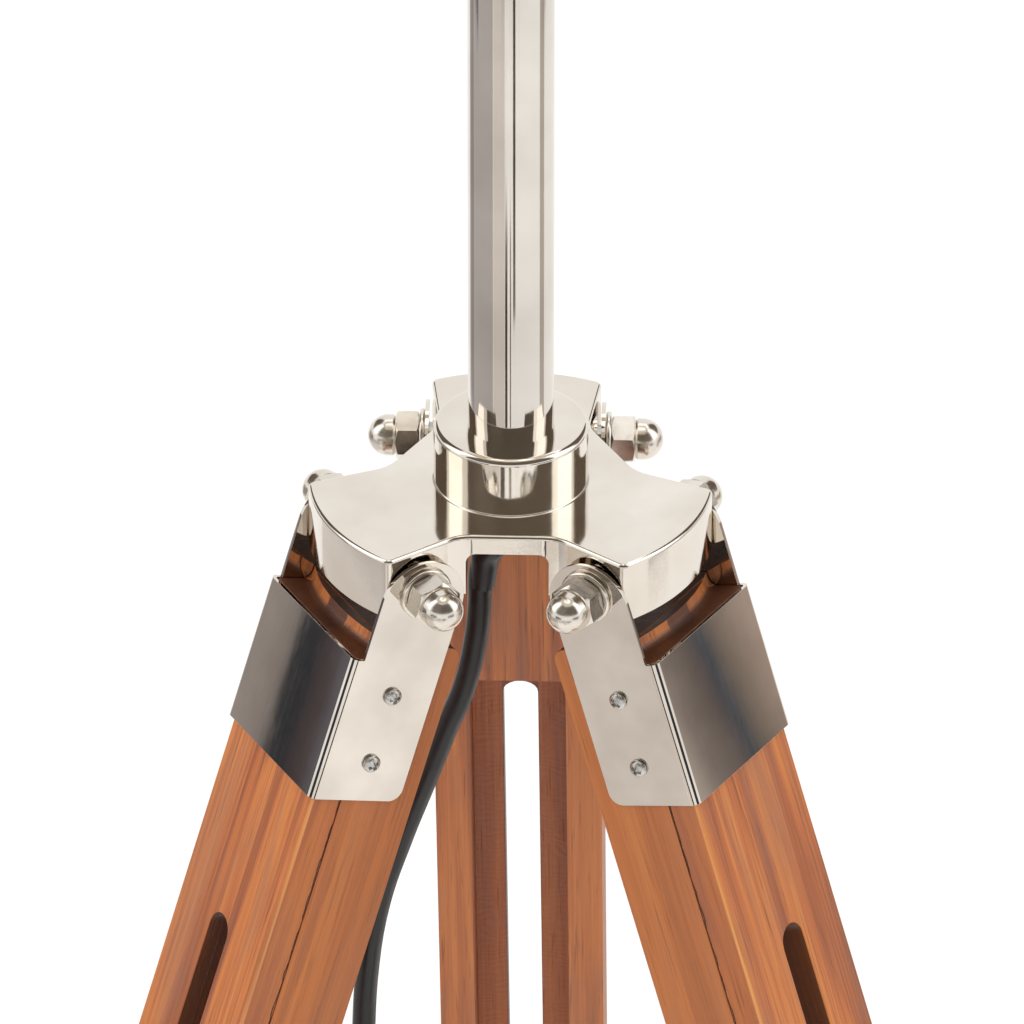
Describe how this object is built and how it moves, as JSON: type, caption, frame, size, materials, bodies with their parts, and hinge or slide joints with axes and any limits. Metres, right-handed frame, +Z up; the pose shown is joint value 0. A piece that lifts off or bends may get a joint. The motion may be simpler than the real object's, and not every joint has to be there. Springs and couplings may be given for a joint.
{
  "type": "tripod floor lamp",
  "caption": "Floor lamp on folding, telescoping slotted wooden tripod legs, with a plated cast hub, tube pole, drum shade and mains cord.",
  "frame": {"origin": "floor level, at the middle of the box round the lamp without its cord", "axes": "+Z up, +Y towards the back leg, +X to the right of someone facing the two front legs"},
  "size_m": [0.5886, 0.5204, 1.4094],
  "materials": {
    "nickel_plate": "polished, slightly warm",
    "zinc_steel": "zinc plated",
    "teak": "oiled, satin",
    "dark_teak": "oiled, partly rough sawn",
    "boot_rubber": "matte",
    "shade_linen": "woven, laminated on a stiff liner",
    "white_wire": "white powder coat",
    "opal_glass": "opal white",
    "cord_pvc": "smooth black PVC sheath",
    "black_plastic": "moulded, fine satin"
  },
  "bodies": {
    "stand": {"hub_casting": "nickel_plate", "pole_tube": "nickel_plate", "pole_ring_nut": "zinc_steel", "cord_bush": "black_plastic", "lampholder": "black_plastic", "shade_ring": "black_plastic", "bulb": "opal_glass", "lampshade": "shade_linen", "shade_carrier": "white_wire", "inner_lead": "cord_pvc", "mains_cord": "cord_pvc", "cord_coil": "cord_pvc", "plug_lead": "cord_pvc", "plug": "black_plastic", "pivot_stud_back": "zinc_steel", "acorn_nut_back_a": "nickel_plate", "acorn_nut_back_b": "nickel_plate", "pivot_stud_left": "zinc_steel", "acorn_nut_left_a": "nickel_plate", "acorn_nut_left_b": "nickel_plate", "pivot_stud_right": "zinc_steel", "acorn_nut_right_a": "nickel_plate", "acorn_nut_right_b": "nickel_plate"},
    "upper_leg_back": {"face_board_back": "teak", "rail_frame_back": "dark_teak", "keeper_plate_back": "zinc_steel", "cap_bracket_back": "nickel_plate", "cap_screw_back_a1": "zinc_steel", "cap_screw_back_a2": "zinc_steel", "cap_screw_back_b1": "zinc_steel", "cap_screw_back_b2": "zinc_steel"},
    "lower_leg_back": {"lower_leg_back": "teak", "clamp_bolt_back": "zinc_steel", "foot_boot_back": "boot_rubber"},
    "clamp_knob_back": {"clamp_knob_back": "nickel_plate"},
    "upper_leg_left": {"face_board_left": "teak", "rail_frame_left": "dark_teak", "keeper_plate_left": "zinc_steel", "cap_bracket_left": "nickel_plate", "cap_screw_left_a1": "zinc_steel", "cap_screw_left_a2": "zinc_steel", "cap_screw_left_b1": "zinc_steel", "cap_screw_left_b2": "zinc_steel"},
    "lower_leg_left": {"lower_leg_left": "teak", "clamp_bolt_left": "zinc_steel", "foot_boot_left": "boot_rubber"},
    "clamp_knob_left": {"clamp_knob_left": "nickel_plate"},
    "upper_leg_right": {"face_board_right": "teak", "rail_frame_right": "dark_teak", "keeper_plate_right": "zinc_steel", "cap_bracket_right": "nickel_plate", "cap_screw_right_a1": "zinc_steel", "cap_screw_right_a2": "zinc_steel", "cap_screw_right_b1": "zinc_steel", "cap_screw_right_b2": "zinc_steel"},
    "lower_leg_right": {"lower_leg_right": "teak", "clamp_bolt_right": "zinc_steel", "foot_boot_right": "boot_rubber"},
    "clamp_knob_right": {"clamp_knob_right": "nickel_plate"},
    "switch_knob": {"switch_knob": "black_plastic"}
  },
  "joints": [
    {"name": "leg_fold_back", "type": "hinge", "parent": "stand", "child": "upper_leg_back", "pos_m": [0, -0.02789, 0.82927], "axis": [1, 0, 0], "range_deg": [-18.7, 16]},
    {"name": "leg_slide_back", "type": "slide", "parent": "upper_leg_back", "child": "lower_leg_back", "axis": [0, 0.3206, -0.9472], "range_m": [-0.26, 0.05]},
    {"name": "clamp_turn_back", "type": "hinge", "parent": "lower_leg_back", "child": "clamp_knob_back", "pos_m": [0, 0.1225, 0.44733], "axis": [0, 0.9472, 0.3206], "continuous": true},
    {"name": "leg_fold_left", "type": "hinge", "parent": "stand", "child": "upper_leg_left", "pos_m": [-0.03663, -0.09134, 0.82927], "axis": [-0.5, 0.866, 0], "range_deg": [-18.7, 16]},
    {"name": "leg_slide_left", "type": "slide", "parent": "upper_leg_left", "child": "lower_leg_left", "axis": [-0.2777, -0.1603, -0.9472], "range_m": [-0.26, 0.05]},
    {"name": "clamp_turn_left", "type": "hinge", "parent": "lower_leg_left", "child": "clamp_knob_left", "pos_m": [-0.16688, -0.16654, 0.44733], "axis": [-0.8203, -0.4736, 0.3206], "continuous": true},
    {"name": "leg_fold_right", "type": "hinge", "parent": "stand", "child": "upper_leg_right", "pos_m": [0.03663, -0.09134, 0.82927], "axis": [-0.5, -0.866, 0], "range_deg": [-18.7, 16]},
    {"name": "leg_slide_right", "type": "slide", "parent": "upper_leg_right", "child": "lower_leg_right", "axis": [0.2777, -0.1603, -0.9472], "range_m": [-0.26, 0.05]},
    {"name": "clamp_turn_right", "type": "hinge", "parent": "lower_leg_right", "child": "clamp_knob_right", "pos_m": [0.16688, -0.16654, 0.44733], "axis": [0.8203, -0.4736, 0.3206], "continuous": true},
    {"name": "switch_turn", "type": "hinge", "parent": "stand", "child": "switch_knob", "pos_m": [0, -0.07019, 1.17007], "axis": [1, 0, 0], "range_deg": [0, 90]}
  ]
}
